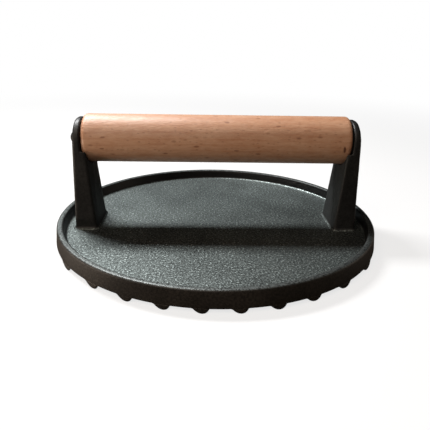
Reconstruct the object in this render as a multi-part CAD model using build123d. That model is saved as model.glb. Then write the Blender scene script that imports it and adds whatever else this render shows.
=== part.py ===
from build123d import *
from math import atan2, cos, radians, sin, tan
import os

# Round cast-iron burger press: a ribbed plate with a shallow tray on top, two cast posts, a turned
# beech grip between them, and the steel bolt and cap nut that carry the grip.
# Lengths are millimetres and angles degrees. +Z is up and z = 0 is the surface that the ribs stand on.
# The grip lies along X over the plate's centre, and the front of the press faces -Y.

# Plate and tray
plate_diameter = 190.0  # across the wall where the plate's underside meets it
wall_draft = 6.0  # the wall leans in towards the rim
plate_thickness = 2.8  # under the tray's floor
rim_height = 6.2  # the rim above the tray's floor
rim_width = 3.4  # across the rim's top
rim_inner_draft = 10.0  # the rim's inner wall leans out towards the top
rim_round = 1.3
floor_fillet = 1.4

# Ribs under the plate, front to back
rib_count = 10
rib_pitch = 17.5
rib_row_shift = 0.3  # the row's middle from the plate's, towards +X
rib_height = 2.4
rib_root_width = 7.8
rib_foot_width = 3.8
rib_foot_lean = 0.5  # the foot's middle from the root's, towards +X
rib_foot_round = 1.6
rib_root_fillet = 1.2

# Grip
grip_diameter = 27.4
grip_axis_height = 56.9
grip_end_round = 2.6
grip_end_gap = 0.4  # between the grip's end and the ear
cradle_gap = 0.4  # between the grip and the cradle under it

# Posts: each is an ear beside the grip's end, and a block inside the ear that ends in the cradle
post_inset = 6.2  # from the edge of the tray's floor to the post's outer face
post_thickness = 13.0  # at the tray's floor
post_side_margin = 0.6  # how far the foot stands out past the grip, at the front and the back
post_outer_draft = 2.7
post_inner_draft = 3.6
post_side_draft = 0.4
post_outer_round = 1.5  # along the outer edges and over the crown
post_edge_round = 0.9  # along the ear's inner edges
block_corner_round = 1.4  # along the block's inner corners
post_foot_fillet = 2.0
ear_thickness = 4.2  # at the grip's axis
crown_drop = 2.0  # the ear's crown under the top of the grip
crown_flat = 3.0  # what is left of the crown between its round corners
shoulder_drop = 5.4  # the block's top under the grip's axis
foot_bevel = 0.3  # how far the block's inner corners stand back from its inner face at the floor
shoulder_bevel = 1.7  # the same at the block's top
ridge_width = 1.6  # what is left of the inner face at the block's top

# Bolt and cap nut
bolt_diameter = 5.0
bolt_running_gap = 0.05  # between the bolt and the grip's bore, on the radius
cap_diameter = 8.4
cap_skirt = 1.0  # the straight part under the dome
cap_dome = 3.2
nut_end_wall = 1.6  # from the bolt's end to the top of the cap nut's dome
seat_margin = 0.3  # the flat that the cap seats on, past the cap on the radius
seat_depth = 0.1  # of that flat, at its shallowest

# Modelling allowances
touching = 0.01  # points closer than this count as one
overlap = 1.0  # how far pieces of one casting run into each other

# Heights and places that follow
underside = rib_height
floor_height = underside + plate_thickness
rim_top = floor_height + rim_height
plate_radius = plate_diameter / 2
rim_radius = plate_radius - (rim_top - underside) * tan(radians(wall_draft))
stock_radius = plate_radius + (underside + overlap) * tan(radians(wall_draft))
rim_inner_radius = rim_radius - rim_width
floor_radius = rim_inner_radius - rim_height * tan(radians(rim_inner_draft))
grip_radius = grip_diameter / 2
grip_axis = Axis((0, 0, grip_axis_height), (1, 0, 0))
shoulder_height = grip_axis_height - shoulder_drop
crown_height = grip_axis_height + grip_radius - crown_drop
post_root = floor_height - min(overlap, plate_thickness / 2)
post_half_depth = grip_radius + post_side_margin


def outer_face(height):
    """X of a post's outer face at a height."""
    return floor_radius - post_inset - (height - floor_height) * tan(radians(post_outer_draft))


def inner_face(height):
    """X of a block's inner face at a height."""
    lean = (height - floor_height) * tan(radians(post_inner_draft))
    return outer_face(floor_height) - post_thickness + lean


def side_face(height):
    """Distance of a post's front and back faces from its middle at a height."""
    return post_half_depth - (height - floor_height) * tan(radians(post_side_draft))


ear_inner = outer_face(grip_axis_height) - ear_thickness
grip_length = 2 * (ear_inner - grip_end_gap)
seat_radius = cap_diameter / 2 + seat_margin
seat_face = outer_face(grip_axis_height + seat_radius) - seat_depth
nut_thread_depth = cap_skirt + cap_dome - nut_end_wall


def along_x(length, radius, start):
    """A cylinder on the grip's axis, from x = start towards +X."""
    plane = Plane(origin=(start, 0, grip_axis_height), z_dir=(1, 0, 0))
    return extrude(plane * Circle(radius), length)


def disc():
    """The plate with its rim and tray, solid down past the surface."""
    outline = Polyline(
        (0, -overlap),
        (stock_radius, -overlap),
        (rim_radius, rim_top),
        (rim_inner_radius, rim_top),
        (floor_radius, floor_height),
        (0, floor_height),
        close=True,
    )
    section = make_face(outline)
    rim_corners = section.vertices().filter_by(lambda corner: abs(corner.Y - rim_top) < touching)
    section = fillet(rim_corners, rim_round)
    floor_corner = section.vertices().sort_by_distance((floor_radius, floor_height))[0]
    section = fillet(floor_corner, floor_fillet)
    return revolve(Plane.XZ * section, Axis.Z)


def grooves():
    """Everything under the plate that is not a rib."""
    reach = plate_diameter
    ribs = Pos(0, underside + overlap / 2) * Rectangle(2 * reach, overlap)
    for index in range(rib_count):
        root = rib_row_shift + (index - (rib_count - 1) / 2) * rib_pitch
        foot = root + rib_foot_lean
        ribs += Polygon(
            (root - rib_root_width / 2, underside),
            (foot - rib_foot_width / 2, 0),
            (foot + rib_foot_width / 2, 0),
            (root + rib_root_width / 2, underside),
            align=None,
        )
    feet = ribs.vertices().filter_by(lambda corner: abs(corner.Y) < touching)
    ribs = fillet(feet, rib_foot_round)
    roots = ribs.vertices().filter_by(lambda corner: abs(corner.Y - underside) < touching)
    ribs = fillet(roots.filter_by(lambda corner: abs(corner.X) < reach - touching), rib_root_fillet)
    around = Rectangle(2 * reach, 2 * underside)
    return extrude(Plane.XZ * (around - ribs), plate_diameter, both=True)


def block_section(height, bevel, ridge):
    """The block's outline at a height: its inner corners stand back from a ridge or a flat."""
    inner = inner_face(height)
    side = side_face(height)
    outline = Polyline(
        (ear_inner + overlap, -side, height),
        (inner + bevel, -side, height),
        (inner, -ridge / 2, height),
        (inner, ridge / 2, height),
        (inner + bevel, side, height),
        (ear_inner + overlap, side, height),
        close=True,
    )
    return make_face(outline)


def block():
    """The inner part of a post, whose inner face narrows upwards to a ridge."""
    bevel_growth = (shoulder_bevel - foot_bevel) / (shoulder_height - floor_height)
    bevel_run = (side_face(shoulder_height) - ridge_width / 2) / shoulder_bevel
    root_bevel = foot_bevel - (floor_height - post_root) * bevel_growth
    root_flat = 2 * (side_face(post_root) - root_bevel * bevel_run)
    foot = block_section(post_root, root_bevel, root_flat)
    shoulder = block_section(shoulder_height, shoulder_bevel, ridge_width)
    solid = loft([foot, shoulder], ruled=True)
    upright = solid.edges().filter_by(lambda edge: edge.bounding_box().size.Z > touching)
    inner = upright.filter_by(lambda edge: edge.center().X < ear_inner)
    corners = inner.sort_by(lambda edge: abs(edge.center().Y))[-2:]
    return fillet(corners, block_corner_round)


def ear_section(height):
    """The ear's outline at a height."""
    width = outer_face(height) - ear_inner
    return Pos(ear_inner + width / 2, 0, height) * Rectangle(width, 2 * side_face(height))


def ear():
    """The outer part of a post, from the plate to the crown beside the grip's end."""
    solid = loft([ear_section(post_root), ear_section(crown_height)], ruled=True)
    crown = solid.faces().sort_by(Axis.Z)[-1]
    crown_round = side_face(crown_height) - crown_flat / 2
    solid = fillet(crown.edges().filter_by(Axis.X), crown_round)
    outer_edges = solid.faces().sort_by(Axis.X)[-1].edges()
    solid = fillet(outer_edges.filter_by(lambda edge: edge.center().Z > floor_height), post_outer_round)
    inner_edges = solid.faces().sort_by(Axis.X)[0].edges()
    return fillet(inner_edges.filter_by(lambda edge: edge.center().Z > floor_height), post_edge_round)


def post():
    """One post at +X, with its cradle, its bore and the flat that the cap seats on."""
    cradle = along_x(ear_inner, grip_radius + cradle_gap, 0)
    bore = along_x(plate_radius, bolt_diameter / 2, 0)
    seat = along_x(plate_radius, seat_radius, seat_face)
    return block() - cradle + ear() - bore - seat


def casting():
    """The plate, its ribs and both posts, cast in one."""
    right = post()
    solid = disc() - grooves() + right + mirror(right, Plane.YZ)
    feet = solid.edges().filter_by(lambda edge: edge.length < plate_radius)
    feet = feet.filter_by(lambda edge: abs(edge.bounding_box().max.Z - floor_height) < touching)
    return fillet(feet, post_foot_fillet)


def cap(base):
    """A low round skirt under a dome, standing on x = base and facing +X."""
    radius = cap_diameter / 2
    skirt_end = base + cap_skirt
    tip = skirt_end + cap_dome
    dome_radius = (radius**2 + cap_dome**2) / (2 * cap_dome)
    dome_centre = tip - dome_radius
    half_angle = atan2(radius, skirt_end - dome_centre) / 2
    dome_middle = (dome_centre + dome_radius * cos(half_angle), dome_radius * sin(half_angle))
    sides = Polyline((tip, 0), (base, 0), (base, radius), (skirt_end, radius))
    dome = ThreePointArc((skirt_end, radius), dome_middle, (tip, 0))
    side_view = Plane(origin=(0, 0, grip_axis_height), x_dir=(1, 0, 0), z_dir=(0, -1, 0))
    return revolve(side_view * make_face(sides + dome), grip_axis)


def bolt():
    """The steel bolt, with its domed head on the left ear and its end in the cap nut."""
    shank = along_x(2 * seat_face + nut_thread_depth, bolt_diameter / 2, -seat_face)
    return shank + mirror(cap(seat_face), Plane.YZ)


def cap_nut():
    """The domed nut on the right ear."""
    return cap(seat_face) - along_x(nut_thread_depth, bolt_diameter / 2, seat_face)


def grip():
    """The beech grip, bored through for the bolt."""
    turned = along_x(grip_length, grip_radius, -grip_length / 2)
    turned = fillet(turned.edges(), grip_end_round)
    return turned - along_x(grip_length, bolt_diameter / 2 + bolt_running_gap, -grip_length / 2)


pieces = {"press_casting": casting, "grip": grip, "bolt": bolt, "cap_nut": cap_nut}

os.makedirs("parts", exist_ok=True)
for name, make_piece in pieces.items():
    export_step(make_piece(), f"parts/{name}.step")
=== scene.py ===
import logging
import math
from collections.abc import Sequence
from dataclasses import dataclass
from enum import Enum

import bmesh
import bpy
from mathutils import Matrix, Vector

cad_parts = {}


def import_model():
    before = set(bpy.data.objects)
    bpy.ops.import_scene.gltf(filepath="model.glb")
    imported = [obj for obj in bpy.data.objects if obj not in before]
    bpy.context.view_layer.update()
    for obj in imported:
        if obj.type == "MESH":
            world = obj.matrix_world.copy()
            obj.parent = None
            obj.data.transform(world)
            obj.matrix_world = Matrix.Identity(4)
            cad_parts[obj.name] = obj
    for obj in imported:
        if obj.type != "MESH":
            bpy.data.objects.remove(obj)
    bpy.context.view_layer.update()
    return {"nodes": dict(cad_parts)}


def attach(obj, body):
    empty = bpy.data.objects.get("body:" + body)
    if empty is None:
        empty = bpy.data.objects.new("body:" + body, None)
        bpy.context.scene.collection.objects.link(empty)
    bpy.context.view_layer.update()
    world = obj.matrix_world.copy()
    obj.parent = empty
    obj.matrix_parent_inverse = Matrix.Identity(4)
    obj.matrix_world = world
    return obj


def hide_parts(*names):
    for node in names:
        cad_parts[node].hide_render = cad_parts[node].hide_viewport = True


# Round cast-iron burger press with a turned beech grip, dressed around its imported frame.
# Sizes in the classes are millimetres; meshes and materials are metres.

log = logging.getLogger("burger_press")

MM = 0.001
MERGE_REACH = 0.002  # points closer than this are one


class Body(Enum):
    """The two bodies that move against each other."""

    PRESS = "press"
    GRIP = "grip"


class Slot(Enum):
    """The record's material slots."""

    CAST_IRON = "cast_iron"
    BEECH = "beech"
    STEEL = "steel"


class Side(Enum):
    """Which post: its value is the sign of X."""

    LEFT = -1
    RIGHT = 1


@dataclass(frozen=True)
class Ink:
    """A colour in linear light."""

    red: float
    green: float
    blue: float

    @property
    def parts(self) -> tuple[float, float, float]:
        """Its red, green and blue."""
        return (self.red, self.green, self.blue)


@dataclass(frozen=True)
class PressSizes:
    """The sizes that several pieces or finishes share."""

    underside: float = 2.4
    floor_height: float = 5.2
    rim_top: float = 11.4
    wall_radius: float = 95.0
    wall_slope: float = math.tan(math.radians(6.0))
    grip_half_length: float = 76.32
    axis_height: float = 56.9


PRESS = PressSizes()


def clamped(value: float) -> float:
    """The value, kept between 0 and 1."""
    return min(1.0, max(0.0, value))


class Signal:
    """A number that comes out of a node, with Python's operators for its maths."""

    def __init__(self, sheet: "Sheet", socket: bpy.types.NodeSocket) -> None:
        """Wraps a socket of the sheet's tree."""
        self.sheet = sheet
        self.socket = socket

    def _math(self, operation: str, *values: "Signal | float") -> "Signal":
        """Adds a Math node.

        Args:
            operation: Blender's name of the operation.
            values: the node's inputs in order.

        Returns:
            The node's result.
        """
        sockets = {index: value for index, value in enumerate(values)}
        node = self.sheet.add("ShaderNodeMath", sockets, {"operation": operation})
        return Signal(self.sheet, node.outputs[0])

    def __add__(self, other: "Signal | float") -> "Signal":
        """self + other."""
        return self._math("ADD", self, other)

    def __radd__(self, other: float) -> "Signal":
        """other + self."""
        return self._math("ADD", other, self)

    def __sub__(self, other: "Signal | float") -> "Signal":
        """self - other."""
        return self._math("SUBTRACT", self, other)

    def __rsub__(self, other: float) -> "Signal":
        """other - self."""
        return self._math("SUBTRACT", other, self)

    def __mul__(self, other: "Signal | float") -> "Signal":
        """self * other."""
        return self._math("MULTIPLY", self, other)

    def __truediv__(self, other: "Signal | float") -> "Signal":
        """self / other."""
        return self._math("DIVIDE", self, other)

    def __rtruediv__(self, other: float) -> "Signal":
        """other / self."""
        return self._math("DIVIDE", other, self)

    def __pow__(self, exponent: float) -> "Signal":
        """self ** exponent."""
        return self._math("POWER", self, exponent)

    def __abs__(self) -> "Signal":
        """The absolute value."""
        return self._math("ABSOLUTE", self)

    def root(self) -> "Signal":
        """The square root."""
        return self._math("SQRT", self)

    def sine(self) -> "Signal":
        """The sine of an angle in radians."""
        return self._math("SINE", self)

    def cosine(self) -> "Signal":
        """The cosine of an angle in radians."""
        return self._math("COSINE", self)

    def fraction(self) -> "Signal":
        """What is left over a whole number."""
        return self._math("FRACT", self)

    def least(self, other: "Signal | float") -> "Signal":
        """The smaller of the two."""
        return self._math("MINIMUM", self, other)

    def most(self, other: "Signal | float") -> "Signal":
        """The larger of the two."""
        return self._math("MAXIMUM", self, other)

    def ease(
        self, start: "Signal | float", end: "Signal | float", low: float = 0.0, high: float = 1.0
    ) -> "Signal":
        """A smooth step from one value to another.

        Args:
            start: where the step begins.
            end: where it is done; may be less than start.
            low: the result before the step.
            high: the result after it.

        Returns:
            The eased value, clamped at both ends.
        """
        settings = {"interpolation_type": "SMOOTHSTEP"}
        sockets = {"Value": self, "From Min": start, "From Max": end, "To Min": low, "To Max": high}
        node = self.sheet.add("ShaderNodeMapRange", sockets, settings)
        return Signal(self.sheet, node.outputs["Result"])

    def past(self, edge: float, start: float, end: float) -> "Signal":
        """A smooth step from 0 to 1, between two distances past an edge."""
        return self.ease(edge + start, edge + end)

    def spread(self, low: float, high: float, reach: float = 0.2) -> "Signal":
        """Noise, which lies within a reach of 0.5, spread from a low value to a high one."""
        return self.ease(0.5 - reach, 0.5 + reach, low, high)


Feed = Signal | bpy.types.Node | bpy.types.NodeSocket | Ink | float | int | bool | str | tuple
Sockets = dict[str | int, Feed]


class Sheet:
    """A node tree, written as calls."""

    def __init__(self, tree: bpy.types.NodeTree) -> None:
        """Empties the tree and takes it over."""
        self.tree = tree
        tree.nodes.clear()

    def add(
        self, kind: str, sockets: Sockets | None = None, settings: dict[str, str] | None = None
    ) -> bpy.types.Node:
        """Adds a node.

        Args:
            kind: the node's type.
            sockets: what its inputs get, by name or number; of a node it is the first output.
            settings: its properties, set first.

        Returns:
            The new node.
        """
        node = self.tree.nodes.new(kind)
        for name, setting in (settings or {}).items():
            setattr(node, name, setting)
        for key, feed in (sockets or {}).items():
            entry = node.inputs[key]
            if isinstance(feed, Signal):
                self.tree.links.new(feed.socket, entry)
            elif isinstance(feed, bpy.types.Node):
                self.tree.links.new(feed.outputs[0], entry)
            elif isinstance(feed, bpy.types.NodeSocket):
                self.tree.links.new(feed, entry)
            elif isinstance(feed, Ink):
                entry.default_value = (*feed.parts, 1.0)[: len(entry.default_value)]
            else:
                entry.default_value = feed
        return node

    def number(self, kind: str, output: str | int, sockets: Sockets | None = None) -> Signal:
        """Adds a node and wraps one of its outputs."""
        return Signal(self, self.add(kind, sockets).outputs[output])

    def split(self, vector: Feed) -> tuple[Signal, Signal, Signal]:
        """The three parts of a vector."""
        node = self.add("ShaderNodeSeparateXYZ", {0: vector})
        return tuple(Signal(self, output) for output in node.outputs)

    def joined(self, x: Feed, y: Feed, z: Feed) -> bpy.types.NodeSocket:
        """A vector from its three parts."""
        return self.add("ShaderNodeCombineXYZ", {0: x, 1: y, 2: z}).outputs[0]

    def stretched(self, vector: Feed, factor: float) -> bpy.types.NodeSocket:
        """A vector with its X multiplied by a factor: below 1 it draws a pattern out along X."""
        sockets = {0: vector, 1: (factor, 1.0, 1.0)}
        return self.add("ShaderNodeVectorMath", sockets, {"operation": "MULTIPLY"}).outputs[0]

    def noise(self, where: Feed, size: float, detail: float = 2.0, rough: float = 0.5) -> Signal:
        """Soft noise between 0 and 1, with patches of a size in millimetres."""
        sockets = {"Vector": where, "Scale": 1 / (size * MM), "Detail": detail, "Roughness": rough}
        return self.number("ShaderNodeTexNoise", "Fac", sockets)

    def mixed(self, share: Feed, first: Feed, second: Feed) -> bpy.types.NodeSocket:
        """Two colours mixed by a share of the second: the node's sockets 6 and 7 into its 2."""
        node = self.add("ShaderNodeMix", {0: share, 6: first, 7: second}, {"data_type": "RGBA"})
        return node.outputs[2]

    def scaled(self, vector: Feed, level: Feed) -> bpy.types.NodeSocket:
        """A vector or a colour multiplied by a level."""
        node = self.add("ShaderNodeVectorMath", {0: vector, "Scale": level}, {"operation": "SCALE"})
        return node.outputs[0]

    def bumped(self, height: Signal, depth: float, strength: float = 1.0) -> bpy.types.NodeSocket:
        """A normal from a height between 0 and 1, over a depth in millimetres."""
        sockets = {"Height": height, "Distance": depth * MM, "Strength": strength}
        return self.add("ShaderNodeBump", sockets).outputs[0]


class Finish:
    """What every finish shares: a material with one principled shader."""

    name: str

    def material(self) -> bpy.types.Material:
        """Makes the material, or gives it back if it is there already.

        Returns:
            The material, named after the finish.
        """
        made = bpy.data.materials.get(self.name)
        if made is None:
            made = bpy.data.materials.new(self.name)
            made.use_nodes = True
            sheet = Sheet(made.node_tree)
            shader = sheet.add("ShaderNodeBsdfPrincipled", self.sockets(sheet))
            sheet.add("ShaderNodeOutputMaterial", {"Surface": shader})
        return made

    def sockets(self, sheet: Sheet) -> Sockets:
        """What goes into the shader's sockets."""
        raise NotImplementedError


@dataclass(frozen=True)
class CastRegions:
    """How far a point belongs to each region of the casting, from 0 to 1."""

    tray: Signal
    # painted light: a paleness on the tray's back right, standing in for light that falls there
    rubbed: Signal
    rim_top: Signal
    rim_edge: Signal
    inner_wall: Signal
    outer_wall: Signal
    crown: Signal


@dataclass(frozen=True)
class SandCastIron(Finish):
    """Seasoned iron: dark on its sides, browned on the outer wall, and pale and grainy on the tray."""

    name: str = "sand_cast_iron"
    black: Ink = Ink(0.0092, 0.0095, 0.0095)
    browned: Ink = Ink(0.0180, 0.0155, 0.0130)
    # painted light: the tray's pale, bare-metal colour makes its up-facing floor brighter
    dry: Ink = Ink(0.143, 0.164, 0.160)
    # the rim top's colour: wear, and painted light on its up-facing top
    edge: Ink = Ink(0.094, 0.104, 0.102)
    rim_inner_radius: float = 90.2
    rim_outer_radius: float = 94.05
    crown_height: float = 68.6
    right_margin: float = 2.0
    patch_size: float = 24.0
    grain_size: float = 1.05
    pit_size: float = 0.5
    sand_share: float = 0.7
    pit_share: float = 0.3
    sand_depth: float = 0.26
    tip_gain: float = 2.0
    # how much the painted light brightens the tray's back right
    rubbed_gain: float = 0.8
    # painted shade: how much the rim's inner wall is darkened
    wall_dimming: float = 0.7
    rim_grit: float = 0.5
    side_grit: float = 0.6
    bareness: float = 0.97
    shine: float = 0.32
    roughness: tuple[float, float] = (0.53, 0.58)
    smoothing: float = 0.1
    edge_polish: float = 0.3
    crown_polish: float = 0.1
    polish_roughness: float = 0.36

    def sockets(self, sheet: Sheet) -> Sockets:
        """What goes into the shader's sockets."""
        place = sheet.add("ShaderNodeTexCoord").outputs["Object"]
        at = self._regions(sheet, place)
        patches = sheet.noise(place, self.patch_size, 3.0)
        sand = sheet.noise(place, self.grain_size, 2.0, 0.6)
        grain = sand * self.sand_share + sheet.noise(place, self.pit_size, 1.0) * self.pit_share
        gritty = (at.tray + at.rim_top * self.rim_grit + self.side_grit).least(1.0)
        rough = patches.spread(*self.roughness) - at.crown * self.smoothing
        polish = at.rim_edge * self.edge_polish + at.crown * self.crown_polish
        return {
            "Base Color": self._colour(sheet, at, patches, sand, grain),
            "Metallic": at.tray.most(at.rim_top) * self.bareness,
            "Roughness": rough - at.inner_wall * self.smoothing,
            "Specular IOR Level": self.shine,
            "Coat Weight": polish.least(1.0),
            "Coat Roughness": self.polish_roughness,
            "Normal": sheet.bumped((grain - 0.5) * gritty + 0.5, self.sand_depth),
        }

    def _regions(self, sheet: Sheet, place: Feed) -> CastRegions:
        """Finds the casting's regions, which run into each other over a millimetre or two.

        Args:
            sheet: the material's tree.
            place: the point.

        Returns:
            The regions. Towards the right the tray's pale part stops nearer to the middle, and its
            far right carries a painted pool of light.
        """
        x, y, z = sheet.split(place)
        radius = (x * x + y * y).root() / MM
        height = z / MM
        drawn_in = radius - x.ease(-10.0 * MM, 50.0 * MM) * self.right_margin
        tray = height.past(PRESS.floor_height, 1.0, 0.2) * height.past(PRESS.floor_height, -1.2, -0.6)
        rim_top = height.past(PRESS.rim_top, -0.5, -0.12)
        rim_top = rim_top * radius.past(self.rim_inner_radius, -1.0, 0.8)
        inner_wall = radius.past(self.rim_inner_radius, -1.6, -0.6)
        outer_wall = height.past(PRESS.rim_top, 0.5, -1.5)
        return CastRegions(
            tray=tray * drawn_in.past(self.rim_inner_radius, -0.4, -1.6),
            # painted light: the tray's back right is made paler
            rubbed=x.ease(-40.0 * MM, 70.0 * MM) * y.ease(5.0 * MM, 60.0 * MM),
            rim_top=rim_top,
            rim_edge=rim_top * radius.past(self.rim_outer_radius, -1.8, -0.9),
            inner_wall=inner_wall * radius.past(self.rim_inner_radius, 1.0, 0.4),
            outer_wall=outer_wall * radius.past(self.rim_outer_radius, -2.5, -1.0),
            crown=height.past(self.crown_height, -9.0, -1.5),
        )

    def _colour(
        self, sheet: Sheet, at: CastRegions, patches: Signal, sand: Signal, grain: Signal
    ) -> bpy.types.NodeSocket:
        """Mixes the colour.

        Args:
            sheet: the material's tree.
            at: the point's regions.
            patches: wide noise.
            sand: the grain's noise.
            grain: the same with its pits.

        Returns:
            The colour.
        """
        speckle = grain.ease(0.36, 0.58, 0.3, 1.0) + grain.ease(0.55, 0.67) * self.tip_gain
        # the tray's grain and patches, with the painted light on its back right
        level = speckle * patches.spread(0.94, 1.06) * (at.rubbed * self.rubbed_gain + 1)
        # painted light: the tray takes its pale colour, with its grain and patches
        tray_with_painted_light = sheet.scaled(self.dry, level)
        seasoning_and_painted_shade = sheet.mixed(at.outer_wall, self.black, self.browned)
        level = sand.spread(0.6, 1.5) * patches.spread(0.75, 1.25)
        # painted shade: the rim's inner wall is darkened, standing in for the shade inside the rim
        seasoning_and_painted_shade = sheet.scaled(sheet.scaled(seasoning_and_painted_shade, level), 1 - at.inner_wall * self.wall_dimming)
        # the rim top: wear, and painted light that makes it paler
        rim_wear_and_painted_light = sheet.scaled(self.edge, sand.ease(0.35, 0.62, 0.45, 1.45))
        return sheet.mixed(at.rim_top, sheet.mixed(at.tray, seasoning_and_painted_shade, tray_with_painted_light), rim_wear_and_painted_light)


@dataclass(frozen=True)
class FleckKind:
    """One kind of dark fleck: its spacing, the share of places without one, and how dark it is."""

    gap: float
    thinning: float
    darkness: float


@dataclass(frozen=True)
class TurnedBeech(Finish):
    """Lightly polished beech, cut lengthwise: pale pink-brown with fine lines and dark flecks."""

    name: str = "turned_beech"
    light: Ink = Ink(0.615, 0.372, 0.238)
    warm: Ink = Ink(0.450, 0.204, 0.104)
    nicked: Ink = Ink(0.110, 0.035, 0.014)
    fleck: Ink = Ink(0.220, 0.082, 0.036)
    pith_drop: float = 46.0
    ring_gap: float = 3.1
    ring_drift: float = 5.0
    sway_across: float = 1.6
    sway_up: float = 1.2
    small_flecks: FleckKind = FleckKind(gap=1.1, thinning=0.62, darkness=0.42)
    large_flecks: FleckKind = FleckKind(gap=2.2, thinning=0.76, darkness=0.72)
    end_darkness: float = 0.3
    nick_place: tuple[float, float, float] = (71.8, -13.4, 54.3)
    nick_sizes: tuple[float, float, float] = (0.8, 4.0, 2.1)
    nick_lean: float = 0.12
    nick_darkness: float = 0.85
    pore_depth: float = 0.13
    shine: float = 0.5
    roughness: tuple[float, float] = (0.44, 0.62)
    polish: tuple[float, float] = (0.1, 0.8)
    polish_roughness: float = 0.46

    def sockets(self, sheet: Sheet) -> Sockets:
        """What goes into the shader's sockets."""
        place = sheet.add("ShaderNodeTexCoord").outputs["Object"]
        x, y, z = sheet.split(place)
        sway = sheet.noise(sheet.stretched(place, 0.5), 5.0)
        bent_y = y + sway * (self.sway_across * MM)
        bent = sheet.joined(x, bent_y, z + sway * (self.sway_up * MM))
        fibres = sheet.noise(sheet.stretched(bent, 0.16), 0.8, 3.0, 0.6)
        mottle = sheet.noise(sheet.stretched(bent, 0.45), 3.2, 3.0, 0.6)
        ripple = sheet.noise(sheet.stretched(bent, 0.6), 1.5, 3.0, 0.6)
        tone = sheet.noise(sheet.stretched(place, 0.3), 12.0)
        share = self._latewood(sheet, place) * 0.2 + fibres.ease(0.35, 0.7) * 0.34
        share = share + mottle.ease(0.3, 0.75) * 0.3 + tone.ease(0.35, 0.65) * 0.3
        wood = sheet.mixed(share.least(1.0), self.light, self.warm)
        small = self._flecks(sheet, bent, self.small_flecks)
        flecks = small.most(self._flecks(sheet, bent, self.large_flecks))
        grip_end = PRESS.grip_half_length
        end = abs(x).ease((grip_end - 1.6) * MM, (grip_end - 0.2) * MM)
        wood = sheet.mixed((flecks + end * self.end_darkness).least(1.0), wood, self.fleck)
        nick = self._nick(sheet, place)
        height = 1 - fibres.ease(0.3, 0.75) * 0.3 - ripple.ease(0.3, 0.7) * 0.4 - flecks * 0.3
        return {
            "Base Color": sheet.mixed(nick, wood, self.nicked),
            "Roughness": (ripple * 0.5 + mottle * 0.5).spread(*self.roughness, 0.15),
            "Specular IOR Level": self.shine,
            "Coat Weight": (ripple * 0.5 + fibres * 0.5).spread(*self.polish, 0.15),
            "Coat Roughness": self.polish_roughness,
            "Normal": sheet.bumped(height - nick, self.pore_depth),
        }

    def _latewood(self, sheet: Sheet, place: Feed) -> Signal:
        """The growth rings' darker lines round a pith that lies under the grip.

        Args:
            sheet: the material's tree.
            place: the point.

        Returns:
            1 in a ring's late wood, 0 in its early wood.
        """
        _, y, z = sheet.split(place)
        drift = sheet.noise(sheet.stretched(place, 0.18), 22.0)
        below = z - (PRESS.axis_height - self.pith_drop) * MM
        from_pith = (y * y + below * below).root() + drift * (self.ring_drift * MM)
        ring = (from_pith / (self.ring_gap * MM)).fraction()
        return ring.ease(0.55, 0.97) * ring.ease(1.0, 0.97)

    @staticmethod
    def _flecks(sheet: Sheet, where: Feed, kind: FleckKind) -> Signal:
        """Short dark dashes along the grain.

        Args:
            sheet: the material's tree.
            where: the place, swayed a little.
            kind: their spacing, number and darkness.

        Returns:
            The kind's darkness inside a dash, 0 outside.
        """
        sockets = {"Vector": sheet.stretched(where, 0.38), "Scale": 1 / (kind.gap * MM)}
        cell = sheet.add("ShaderNodeTexVoronoi", sockets, {"feature": "F1"})
        chosen, _, _ = sheet.split(cell.outputs["Color"])
        dash = Signal(sheet, cell.outputs["Distance"]).ease(0.36, 0.14)
        return dash * chosen.ease(kind.thinning, kind.thinning + 0.1) * kind.darkness

    def _nick(self, sheet: Sheet, place: Feed) -> Signal:
        """The small dark nick near the grip's right end."""
        middle = tuple(part * MM for part in self.nick_place)
        away = sheet.add("ShaderNodeVectorMath", {0: place, 1: middle}, {"operation": "SUBTRACT"})
        x, y, z = sheet.split(away)
        across, deep, long = (size * MM for size in self.nick_sizes)
        leant = (x + z * self.nick_lean) / across
        up = z / long
        depth = y / deep
        return (leant * leant + up * up + depth * depth).ease(1.0, 0.45) * self.nick_darkness


@dataclass(frozen=True)
class BlackenedSteel(Finish):
    """The bolt's and the nut's dark satin steel, worn bare a little on the domes."""

    name: str = "blackened_steel"
    dark: Ink = Ink(0.030, 0.030, 0.031)
    # real wear: bare steel showing through on the domes
    rubbed: Ink = Ink(0.120, 0.118, 0.115)
    rubbed_from: float = 81.5
    rubbed_by: float = 84.0
    shine: float = 0.4
    roughness: tuple[float, float] = (0.34, 0.5)
    scuff_depth: float = 0.03

    def sockets(self, sheet: Sheet) -> Sockets:
        """What goes into the shader's sockets."""
        place = sheet.add("ShaderNodeTexCoord").outputs["Object"]
        x, _, _ = sheet.split(place)
        scuffs = sheet.noise(place, 1.4, 4.0, 0.65)
        turned = sheet.noise(sheet.stretched(place, 8.0), 2.0, 1.0)
        bare = scuffs.ease(0.52, 0.72) * abs(x).ease(self.rubbed_from * MM, self.rubbed_by * MM)
        return {
            "Base Color": sheet.mixed(bare * 0.6, self.dark, self.rubbed),
            "Metallic": bare * 0.5 + 0.3,
            "Roughness": scuffs.spread(*self.roughness),
            "Specular IOR Level": self.shine,
            "Normal": sheet.bumped(turned * 0.5 + scuffs * 0.5, self.scuff_depth, 0.6),
        }


@dataclass(frozen=True)
class Corner:
    """A corner of a turned outline: its place across and along the axis, and its round."""

    across: float
    along: float
    round: float = 0.0

    @property
    def at(self) -> Vector:
        """The corner as a plane vector."""
        return Vector((self.across, self.along))


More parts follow.
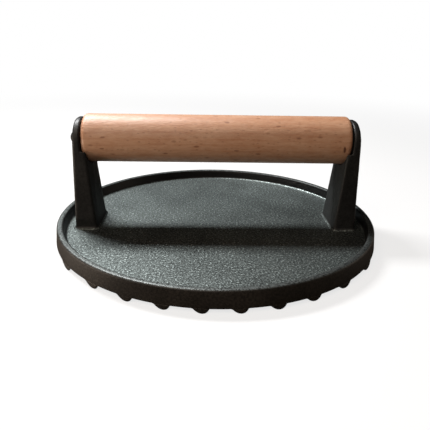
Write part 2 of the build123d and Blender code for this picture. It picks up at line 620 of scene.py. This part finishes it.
def outline(corners: Sequence[Corner], step: float, arc_steps: int = 6) -> list[Vector]:
    """Rounds a closed outline's corners and divides its long sides.

    Args:
        corners: the corners in order; the last joins the first.
        step: the longest straight piece.
        arc_steps: how many pieces each round gets.

    Returns:
        The outline's points, without a repeated last one.
    """
    bent: list[Vector] = []
    count = len(corners)
    for index, corner in enumerate(corners):
        if not corner.round:
            bent.append(corner.at)
            continue
        back = (corners[index - 1].at - corner.at).normalized()
        ahead = (corners[(index + 1) % count].at - corner.at).normalized()
        half = back.angle(ahead) / 2
        reach = corner.round / math.tan(half)
        centre = corner.at + (back + ahead).normalized() * (corner.round / math.sin(half))
        start = corner.at + back * reach - centre
        turn = start.angle_signed(corner.at + ahead * reach - centre)
        for part in range(arc_steps + 1):
            bent.append(centre + Matrix.Rotation(-turn * part / arc_steps, 2) @ start)
    points: list[Vector] = []
    for index, point in enumerate(bent):
        following = bent[(index + 1) % len(bent)]
        pieces = max(1, math.ceil((following - point).length / step))
        points.extend(point.lerp(following, part / pieces) for part in range(pieces))
    return points


def add_object(name: str, data: bpy.types.ID) -> bpy.types.Object:
    """Puts a mesh, a lamp or a camera into the scene as an object at the origin."""
    made = bpy.data.objects.new(name, data)
    bpy.context.scene.collection.objects.link(made)
    return made


def weld(mesh: bpy.types.Mesh) -> None:
    """Merges a mesh's doubles and turns its faces outwards."""
    work = bmesh.new()
    work.from_mesh(mesh)
    bmesh.ops.remove_doubles(work, verts=work.verts, dist=MERGE_REACH * MM)
    bmesh.ops.dissolve_degenerate(work, edges=work.edges, dist=MERGE_REACH * MM / 4)
    bmesh.ops.recalc_face_normals(work, faces=work.faces)
    if work.calc_volume(signed=True) < 0:
        bmesh.ops.reverse_faces(work, faces=work.faces)
    work.to_mesh(mesh)
    work.free()


def settled(source: bpy.types.Object, name: str) -> bpy.types.Object:
    """Turns an object with modifiers into a plain one.

    Args:
        source: the object, which is removed.
        name: the plain object's name.

    Returns:
        The new object, with its doubles merged and its faces outwards.
    """
    evaluated = source.evaluated_get(bpy.context.evaluated_depsgraph_get())
    mesh = bpy.data.meshes.new_from_object(evaluated)
    mesh.name = name
    bpy.data.objects.remove(source)
    weld(mesh)
    return add_object(name, mesh)


class Recipe:
    """A Geometry Nodes tree with named inputs."""

    def __init__(
        self,
        name: str,
        finish: Finish,
        lengths: dict[str, float],
        numbers: dict[str, float | int] | None = None,
    ) -> None:
        """Opens a tree.

        Args:
            name: the tree's name.
            finish: what its surface gets.
            lengths: its inputs in millimetres.
            numbers: its inputs that are no lengths.
        """
        self.values = {label: length * MM for label, length in lengths.items()}
        self.values |= {**(numbers or {}), "Material": finish.material()}
        self.group = bpy.data.node_groups.new(name, "GeometryNodeTree")
        sides = self.group.interface
        sides.new_socket("Geometry", in_out="INPUT", socket_type="NodeSocketGeometry")
        kinds = {int: "NodeSocketInt", float: "NodeSocketFloat"}
        for label, value in self.values.items():
            kind = kinds.get(type(value), "NodeSocketMaterial")
            sides.new_socket(label, in_out="INPUT", socket_type=kind)
        sides.new_socket("Geometry", in_out="OUTPUT", socket_type="NodeSocketGeometry")
        self.sheet = Sheet(self.group)
        self.entry = self.sheet.add("NodeGroupInput")

    def given(self, label: str) -> Signal:
        """A named input."""
        return Signal(self.sheet, self.entry.outputs[label])

    def uneven(self, geometry: Feed) -> bpy.types.Node:
        """Moves a surface in and out a little along its normals, as casting or turning leaves it.

        Args:
            geometry: the surface.

        Returns:
            The node that gives it, uneven by the inputs unevenness and wave.
        """
        sheet = self.sheet
        place = sheet.add("GeometryNodeInputPosition")
        normal = sheet.add("GeometryNodeInputNormal")
        sockets = {"Vector": place, "Scale": 1 / self.given("wave"), "Detail": 2.0}
        swell = sheet.number("ShaderNodeTexNoise", 0, sockets)
        push = sheet.scaled(normal, (swell - 0.5) * 2 * self.given("unevenness"))
        return sheet.add("GeometryNodeSetPosition", {"Geometry": geometry, "Offset": push})

    def close(self, geometry: Feed, crease: float) -> None:
        """Ends the tree.

        Args:
            geometry: what it has made.
            crease: edges that turn by more than this many degrees stay sharp.
        """
        sheet = self.sheet
        angle = sheet.number("GeometryNodeInputMeshEdgeAngle", 0)
        smooth = sheet.add("GeometryNodeSetShadeSmooth", {"Geometry": geometry}, {"domain": "FACE"})
        sockets = {0: angle, 1: math.radians(crease)}
        bend = sheet.add("FunctionNodeCompare", sockets, {"operation": "GREATER_THAN"})
        sockets = {"Geometry": smooth, "Selection": bend, "Shade Smooth": False}
        creased = sheet.add("GeometryNodeSetShadeSmooth", sockets, {"domain": "EDGE"})
        real = sheet.add("GeometryNodeRealizeInstances", {"Geometry": creased})
        sockets = {"Geometry": real, "Material": self.entry.outputs["Material"]}
        dressed = sheet.add("GeometryNodeSetMaterial", sockets)
        sheet.add("NodeGroupOutput", {0: dressed})

    def run(self, host: bpy.types.Object, name: str) -> bpy.types.Object:
        """Runs the tree on an object and keeps the result as a plain one.

        Args:
            host: the object that the tree starts from; it is removed.
            name: the result's name.

        Returns:
            The plain object.
        """
        modifier = host.modifiers.new(self.group.name, "NODES")
        modifier.node_group = self.group
        for item in self.group.interface.items_tree:
            if item.in_out == "INPUT" and item.name in self.values:
                modifier[item.identifier] = self.values[item.name]
        return settled(host, name)


@dataclass
class Turning:
    """A piece that is turned about an axis, from its outline."""

    name: str
    points: list[Vector]
    finish: Finish
    segments: int = 192
    unevenness: float = 0.0
    wave: float = 20.0
    crease: float = 34.0
    index_margin: float = 0.25  # keeps an index on its own point when it is cut to a whole number

    def build(self) -> bpy.types.Object:
        """Turns the outline about Z.

        Returns:
            The piece, in metres.
        """
        mesh = bpy.data.meshes.new(self.name + "_outline")
        ring = [*self.points, self.points[0]]
        mesh.from_pydata([(point.x * MM, 0.0, point.y * MM) for point in ring], [], [])
        return self._recipe(len(ring)).run(add_object(self.name + "_outline", mesh), self.name)

    def _recipe(self, count: int) -> Recipe:
        """The tree that lays the outline's points round the axis.

        Args:
            count: how many points the outline has, its first one twice.

        Returns:
            The tree, ready to run on the outline.
        """
        lengths = {"unevenness": self.unevenness, "wave": self.wave}
        numbers = {"points": count, "segments": self.segments}
        recipe = Recipe(self.name + "_turned", self.finish, lengths, numbers)
        sheet = recipe.sheet
        points = recipe.given("points")
        segments = recipe.given("segments")
        sockets = {"Size X": points - 1, "Size Y": 1.0}
        sockets |= {"Vertices X": points, "Vertices Y": segments + 1}
        grid = sheet.add("GeometryNodeMeshGrid", sockets)
        place = sheet.add("GeometryNodeInputPosition")
        u, v, _ = sheet.split(place)
        index = u + (points - 1) / 2 + self.index_margin
        settings = {"data_type": "FLOAT_VECTOR", "domain": "POINT"}
        sockets = {"Geometry": recipe.entry.outputs["Geometry"], "Value": place, "Index": index}
        picked = sheet.add("GeometryNodeSampleIndex", sockets, settings)
        across, _, along = sheet.split(picked)
        angle = (v + 0.5) * math.tau
        round_it = sheet.joined(across * angle.cosine(), across * angle.sine(), along)
        laid = sheet.add("GeometryNodeSetPosition", {"Geometry": grid, "Position": round_it})
        sockets = {"Geometry": laid, "Distance": MERGE_REACH * MM}
        whole = sheet.add("GeometryNodeMergeByDistance", sockets)
        recipe.close(recipe.uneven(whole), self.crease)
        return recipe


@dataclass
class TrayPlate:
    """The round plate with its raised rim and the shallow tray on top."""

    rim_width: float = 3.4
    rim_slope: float = math.tan(math.radians(10.0))
    rim_round: float = 1.3
    floor_round: float = 1.4
    foot_round: float = 0.35

    def build(self) -> bpy.types.Object:
        """Turns the plate.

        Returns:
            The plate, which stands for the casting together with the ribs and the posts.
        """
        rim_radius = PRESS.wall_radius - (PRESS.rim_top - PRESS.underside) * PRESS.wall_slope
        inner_radius = rim_radius - self.rim_width
        floor_radius = inner_radius - (PRESS.rim_top - PRESS.floor_height) * self.rim_slope
        corners = [
            Corner(0.0, PRESS.underside),
            Corner(PRESS.wall_radius, PRESS.underside, self.foot_round),
            Corner(rim_radius, PRESS.rim_top, self.rim_round),
            Corner(inner_radius, PRESS.rim_top, self.rim_round),
            Corner(floor_radius, PRESS.floor_height, self.floor_round),
            Corner(0.0, PRESS.floor_height),
        ]
        points = outline(corners, step=3.0)
        iron = SandCastIron()
        return Turning("tray_plate", points, iron, segments=288, unevenness=0.07, wave=26.0).build()


@dataclass
class RibSet:
    """The ribs that run front to back under the plate, each ending flush with its wall.

    Every length here is an input of the ribs' tree, under its own name.
    """

    count: int = 10
    pitch: float = 17.5
    row_shift: float = 0.2
    height: float = PRESS.underside
    root_width: float = 7.6
    foot_width: float = 3.8
    foot_lean: float = 0.6
    foot_round: float = 1.6
    left_root_round: float = 0.6
    right_root_round: float = 0.2
    end_round: float = 0.35
    end_power: int = 8
    sunk: float = 0.5
    sunk_inset: float = 0.3
    sunk_fade: float = 0.2
    wall_radius: float = PRESS.wall_radius
    vertices_across: int = 11
    vertices_along: int = 121
    vertices_up: int = 13
    unevenness: float = 0.05
    wave: float = 14.0
    crease: int = 40

    def build(self) -> bpy.types.Object:
        """Makes all ribs as one piece.

        Returns:
            The ribs.
        """
        lengths = {name: size for name, size in vars(self).items() if isinstance(size, float)}
        numbers = {"count": self.count, "wall_slope": PRESS.wall_slope}
        recipe = Recipe("ribs_laid_out", SandCastIron(), lengths, numbers)
        sheet = recipe.sheet
        given = recipe.given
        sockets = {
            "Size": (1.0, 2.0, 1.0),
            "Vertices X": self.vertices_across,
            "Vertices Y": self.vertices_along,
            "Vertices Z": self.vertices_up,
        }
        bar = sheet.add("GeometryNodeMeshCube", sockets)
        place = sheet.add("GeometryNodeInputPosition")
        settings = {"data_type": "FLOAT_VECTOR", "domain": "POINT"}
        sockets = {"Geometry": bar, "Name": "own_place", "Value": place}
        marked = sheet.add("GeometryNodeStoreNamedAttribute", sockets, settings)
        first = given("row_shift") - given("pitch") * (given("count") - 1) / 2
        sockets = {
            "Count": given("count"),
            "Start Location": sheet.joined(first, 0.0, 0.0),
            "Offset": sheet.joined(given("pitch"), 0.0, 0.0),
        }
        row = sheet.add("GeometryNodeMeshLine", sockets)
        laid = sheet.add("GeometryNodeInstanceOnPoints", {"Points": row, "Instance": marked})
        real = sheet.add("GeometryNodeRealizeInstances", {"Geometry": laid})
        sockets = {"Geometry": real, "Position": self._rib_place(recipe)}
        shaped = sheet.add("GeometryNodeSetPosition", sockets)
        cleared = sheet.add("GeometryNodeRemoveAttribute", {"Geometry": shaped, "Name": "own_place"})
        recipe.close(recipe.uneven(cleared), self.crease)
        host = add_object("ribs_host", bpy.data.meshes.new("ribs_host"))
        return recipe.run(host, "plate_ribs")

    def _rib_place(self, recipe: Recipe) -> bpy.types.NodeSocket:
        """Where each point of a plain bar, 1 wide, 2 long and 1 high, goes on its rib.

        Args:
            recipe: the ribs' tree.

        Returns:
            The place: sides drafted and rounded, ends cut off along the plate's wall.
        """
        sheet = recipe.sheet
        given = recipe.given
        sockets, settings = {"Name": "own_place"}, {"data_type": "FLOAT_VECTOR"}
        own = sheet.add("GeometryNodeInputNamedAttribute", sockets, settings)
        across, along, up = sheet.split(own)
        x, _, _ = sheet.split(sheet.add("GeometryNodeInputPosition"))
        z = (up + 0.5) * (given("height") + given("sunk"))
        risen = (z / given("height")).least(1.0)
        flank = (given("foot_width") + (given("root_width") - given("foot_width")) * risen) / 2
        into_round = (given("foot_round") - z).most(0.0)
        left = (given("foot_round") * given("foot_round") - into_round * into_round).root()
        flares = []
        for label in ("left_root_round", "right_root_round"):
            into_root = (z.least(given("height")) - given("height") + given(label)).most(0.0)
            flares.append(given(label) - (given(label) * given(label) - into_root * into_root).root())
        half_width = flank - (given("foot_round") - left)
        middle = x - across + given("foot_lean") * (1 - risen)
        rib_x = middle + across * 2 * half_width
        rib_x = rib_x - flares[0] * (0.5 - across) + flares[1] * (0.5 + across)
        wall = given("wall_radius") + (given("height") - z) * given("wall_slope")
        reach = (wall * wall - rib_x * rib_x).root()
        to_edge = abs(across * 2) ** self.end_power + (1 - risen) ** self.end_power
        inset = z.ease(given("height"), given("height") + given("sunk_fade")) * given("sunk_inset")
        reach = reach - to_edge.least(1.0) * given("end_round") - inset
        return sheet.joined(rib_x, along * reach, z)


@dataclass
class CastPost:
    """One post with its ear and its cradle, taken from the solid and given a cast skin."""

    side: Side
    casting: bpy.types.Object
    near: float = 68.0
    far: float = 85.7
    half_depth: float = 16.7
    root_depth: float = 0.9
    top: float = 70.0
    grain: float = 0.45
    skirt: float = 0.35
    skirt_height: float = 0.22
    corner_push: float = 1.5
    shoulder_height: float = 51.5
    ear_inner: float = 76.72
    ridge_half: float = 0.8
    unevenness: float = 0.09
    wave: float = 11.0
    crease: float = 60.0

    def build(self) -> bpy.types.Object:
        """Cuts the post out of the casting's solid and remeshes it finely.

        Returns:
            The post.
        """
        name = f"post_{self.side.name.lower()}"
        solid = self.casting.data.copy()
        weld(solid)
        host = add_object(name + "_host", solid)
        cutter = add_object(name + "_cutter", self._cutter_mesh())
        cut = host.modifiers.new("cut", "BOOLEAN")
        cut.operation = "INTERSECT"
        cut.object = cutter
        cut.solver = "EXACT"
        fine = host.modifiers.new("fine", "REMESH")
        fine.mode = "VOXEL"
        fine.voxel_size = self.grain * MM
        soft = host.modifiers.new("soft", "SMOOTH")
        soft.factor = 0.5
        soft.iterations = 2
        block = settled(host, name + "_block")
        bpy.data.objects.remove(cutter)
        for vertex in block.data.vertices:
            self._settle(vertex)
        lengths = {"unevenness": self.unevenness, "wave": self.wave}
        recipe = Recipe(name + "_skin", SandCastIron(), lengths)
        recipe.close(recipe.uneven(recipe.entry.outputs["Geometry"]), self.crease)
        return recipe.run(block, name)

    def _settle(self, vertex: bpy.types.MeshVertex) -> None:
        """Sinks the post's foot into the tray, and fills out the block's front corner.

        Args:
            vertex: a point of the post, moved in place.
        """
        place = vertex.co / MM
        height = place.z - PRESS.floor_height
        low = 1 - height / self.skirt_height
        risen = height / (self.shoulder_height - PRESS.floor_height)
        forward = (-place.y - self.ridge_half) / (self.half_depth - self.ridge_half)
        within = (self.ear_inner - abs(place.x)) / self.corner_push
        push = math.prod(clamped(share) for share in (risen, forward, within))
        vertex.co.x -= self.side.value * self.corner_push * MM * push
        vertex.co.z -= self.skirt * MM * clamped(low)

    def _cutter_mesh(self) -> bpy.types.Mesh:
        """The box round the post, from just under the tray's floor up."""
        base = PRESS.floor_height - self.root_depth
        sizes = (self.far - self.near, 2 * self.half_depth, self.top - base)
        centre = Vector((self.side.value * (self.near + self.far) / 2, 0.0, (self.top + base) / 2))
        work = bmesh.new()
        bmesh.ops.create_cube(work, size=1.0)
        for vertex in work.verts:
            vertex.co = Vector(part * size for part, size in zip(vertex.co, sizes)) + centre
            vertex.co *= MM
        mesh = bpy.data.meshes.new("post_cutter")
        work.to_mesh(mesh)
        work.free()
        return mesh


def lay_along_x(piece: bpy.types.Object) -> bpy.types.Object:
    """Lays a piece that is turned about Z on the grip's axis, and gives it back."""
    lift = Matrix.Translation((0.0, 0.0, PRESS.axis_height * MM))
    piece.data.transform(lift @ Matrix.Rotation(math.pi / 2, 4, "Y"))
    return piece


@dataclass
class TurnedGrip:
    """The beech grip with rounded ends, bored for the bolt."""

    radius: float = 13.7
    bore: float = 2.55
    end_round: float = 2.6
    bore_round: float = 0.4

    def build(self) -> bpy.types.Object:
        """Turns the grip and lays it on its axis.

        Returns:
            The grip.
        """
        half = PRESS.grip_half_length
        corners = [
            Corner(self.bore, -half, self.bore_round),
            Corner(self.radius, -half, self.end_round),
            Corner(self.radius, half, self.end_round),
            Corner(self.bore, half, self.bore_round),
        ]
        points = outline(corners, step=2.5, arc_steps=8)
        beech = TurnedBeech()
        grip = Turning("turned_grip", points, beech, segments=160, unevenness=0.05, wave=30.0)
        return lay_along_x(grip.build())


@dataclass
class GripBolt:
    """The bolt through the posts and the grip, and the cap nut on its end."""

    shank: float = 2.5
    cap_radius: float = 4.2
    skirt: float = 1.0
    dome: float = 3.2
    end_wall: float = 1.6
    seat: float = 80.61
    edge_round: float = 0.3
    dome_steps: int = 10

    def build(self) -> tuple[bpy.types.Object, bpy.types.Object]:
        """Turns both pieces and lays them on the grip's axis.

        Returns:
            The bolt, with its head on the left, and the cap nut on the right.
        """
        cap = self._cap()
        head = [Corner(corner.across, -corner.along) for corner in cap]
        end = self.seat + self.skirt + self.dome - self.end_wall
        shank = [
            Corner(self.shank, -self.seat),
            Corner(self.shank, end, self.edge_round),
            Corner(0.0, end),
        ]
        hole = [Corner(self.shank, self.seat), Corner(self.shank, end), Corner(0.0, end)]
        return self._turned("grip_bolt", head + shank), self._turned("bolt_cap_nut", cap + hole)

    @staticmethod
    def _turned(name: str, corners: list[Corner]) -> bpy.types.Object:
        """Turns a steel piece from its corners and lays it on the grip's axis."""
        points = outline(corners, step=6.0, arc_steps=4)
        return lay_along_x(Turning(name, points, BlackenedSteel(), segments=64, crease=40.0).build())

    def _cap(self) -> list[Corner]:
        """The cap's corners from its tip to the inside of its seat."""
        radius = (self.cap_radius**2 + self.dome**2) / (2 * self.dome)
        centre = self.seat + self.skirt + self.dome - radius
        sweep = math.atan2(self.cap_radius, radius - self.dome)
        turns = [sweep * part / self.dome_steps for part in range(self.dome_steps + 1)]
        arc = [Corner(radius * math.sin(turn), centre + radius * math.cos(turn)) for turn in turns]
        edge = Corner(self.cap_radius, self.seat + self.edge_round)
        return [*arc, edge, Corner(self.cap_radius - self.edge_round, self.seat)]


@dataclass(frozen=True)
class Lamp:
    """An oblong lamp that faces a point: its places and sizes are in millimetres."""

    name: str
    place: tuple[float, float, float]
    target: tuple[float, float, float]
    sizes: tuple[float, float]
    watts: float
    tint: Ink

    def hang(self) -> None:
        """Puts the lamp into the scene."""
        data = bpy.data.lights.new(self.name, "AREA")
        data.shape = "RECTANGLE"
        data.size, data.size_y = (side * MM for side in self.sizes)
        data.energy = self.watts
        data.color = self.tint.parts
        lamp = add_object(self.name, data)
        lamp.location = Vector(self.place) * MM
        ahead = Vector(self.target) - Vector(self.place)
        lamp.rotation_euler = ahead.to_track_quat("-Z", "Y").to_euler()


@dataclass
class Studio:
    """The camera, the floor, the backdrop and the lamps."""

    camera_place: tuple[float, float, float] = (-7.84, -266.06, 115.27)
    yaw: float = 1.5996
    pitch: float = 21.7696
    roll: float = 1.0143
    focal_pixels: float = 460.0
    frame_pixels: float = 430.0
    sensor: float = 36.0
    ambient: float = 0.006
    floor_seen: float = 0.92
    floor_bounce: float = 0.06
    reflected: float = 0.008
    warm: Ink = Ink(1.0, 0.84, 0.70)
    white: Ink = Ink(1.0, 1.0, 1.0)
    floor_reach: float = 4000.0
    floor_drop: float = 0.03
    glow_near: float = 0.75
    clear_from: float = 160.0
    clear_by: float = 750.0

    def build(self) -> None:
        """Sets the camera, the floor, the world and the lamps."""
        self._camera()
        self._floor()
        self._world()
        middle = (0.0, 0.0, 0.0)
        lamps = (
            Lamp("key", (-245.0, 185.0, 455.0), (-245.0, 0.0, 0.0), (280.0, 84.0), 5.1, self.white),
            Lamp("front_fill", (-200.0, -400.0, 455.0), middle, (400.0, 400.0), 1.9, self.warm),
            Lamp("left_fill", (-300.0, -60.0, 12.0), (0.0, 0.0, 5.0), (120.0, 20.0), 0.34, self.warm),
            Lamp("right_fill", (330.0, 20.0, 60.0), (0.0, 0.0, 20.0), (120.0, 120.0), 0.1, self.warm),
        )
        for lamp in lamps:
            lamp.hang()
        bpy.context.scene.view_settings.view_transform = "Standard"

    def _camera(self) -> None:
        """Puts the camera where the photograph was taken."""
        data = bpy.data.cameras.new("camera")
        data.sensor_width = self.sensor
        data.lens = self.focal_pixels / self.frame_pixels * self.sensor
        camera = add_object("camera", data)
        yaw, pitch, roll = (math.radians(turn) for turn in (self.yaw, self.pitch, self.roll))
        flat = math.cos(pitch)
        ahead = Vector((math.sin(yaw) * flat, math.cos(yaw) * flat, -math.sin(pitch)))
        level = Vector((math.cos(yaw), -math.sin(yaw), 0.0))
        above = level.cross(ahead)
        right = math.cos(roll) * level + math.sin(roll) * above
        up = math.cos(roll) * above - math.sin(roll) * level
        turned = Matrix((right, up, -ahead)).transposed().to_4x4()
        camera.matrix_world = Matrix.Translation(Vector(self.camera_place) * MM) @ turned
        bpy.context.scene.camera = camera

    def _floor(self) -> None:
        """Lays the pale floor that keeps the press's shadow and turns white away from it."""
        mesh = bpy.data.meshes.new("floor")
        reach = self.floor_reach * MM
        signs = ((-1, -1), (1, -1), (1, 1), (-1, 1))
        corners = [(x * reach, y * reach, -self.floor_drop * MM) for x, y in signs]
        mesh.from_pydata(corners, [], [(0, 1, 2, 3)])
        floor = add_object("floor", mesh)
        material = bpy.data.materials.new("pale_floor")
        material.use_nodes = True
        sheet = Sheet(material.node_tree)
        seen = sheet.number("ShaderNodeLightPath", "Is Camera Ray")
        bounces = [self.floor_bounce * part for part in self.warm.parts]
        greys = [seen * (self.floor_seen - bounce) + bounce for bounce in bounces]
        lit = sheet.add("ShaderNodeBsdfDiffuse", {"Color": sheet.joined(*greys)})
        white = sheet.add("ShaderNodeEmission", {"Color": self.white, "Strength": 1.0})
        x, y, _ = sheet.split(sheet.add("ShaderNodeTexCoord").outputs["Object"])
        away = (x * x + y * y).root()
        share = seen * away.ease(self.clear_from * MM, self.clear_by * MM, self.glow_near, 1.0)
        both = sheet.add("ShaderNodeMixShader", {0: share, 1: lit, 2: white})
        sheet.add("ShaderNodeOutputMaterial", {"Surface": both})
        mesh.materials.append(material)

    def _world(self) -> None:
        """A white backdrop, and a low even light from all round."""
        world = bpy.data.worlds.new("studio")
        bpy.context.scene.world = world
        world.use_nodes = True
        sheet = Sheet(world.node_tree)
        seen = sheet.number("ShaderNodeLightPath", "Is Camera Ray")
        mirrored = sheet.number("ShaderNodeLightPath", "Is Glossy Ray") * self.reflected
        levels = [seen.most(mirrored).most(self.ambient * part) for part in self.warm.parts]
        sockets = {"Color": sheet.joined(*levels), "Strength": 1.0}
        background = sheet.add("ShaderNodeBackground", sockets)
        sheet.add("ShaderNodeOutputWorld", {"Surface": background})


def mount(piece: bpy.types.Object, body: Body, slot: Slot, *nodes: str) -> None:
    """Hands a finished piece to the frame and reports it.

    Args:
        piece: the piece, in place.
        body: the body that it moves with.
        slot: the record's material slot for its finish; it is not used.
        nodes: the solids that it stands for.
    """
    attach(piece, body.value)
    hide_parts(*nodes)
    log.info("%s rides on %s: %d faces", piece.name, body.value, len(piece.data.polygons))


def main() -> None:
    """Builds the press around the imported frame."""
    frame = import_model()
    Studio().build()
    casting = frame["nodes"]["press_casting"]
    mount(TrayPlate().build(), Body.PRESS, Slot.CAST_IRON, "press_casting")
    mount(RibSet().build(), Body.PRESS, Slot.CAST_IRON, "press_casting")
    for side in Side:
        mount(CastPost(side, casting).build(), Body.PRESS, Slot.CAST_IRON, "press_casting")
    mount(TurnedGrip().build(), Body.GRIP, Slot.BEECH, "grip")
    bolt, nut = GripBolt().build()
    mount(bolt, Body.PRESS, Slot.STEEL, "bolt")
    mount(nut, Body.PRESS, Slot.STEEL, "cap_nut")


if __name__ == "__main__":
    logging.basicConfig(level=logging.INFO, format="%(name)s: %(message)s")
    main()
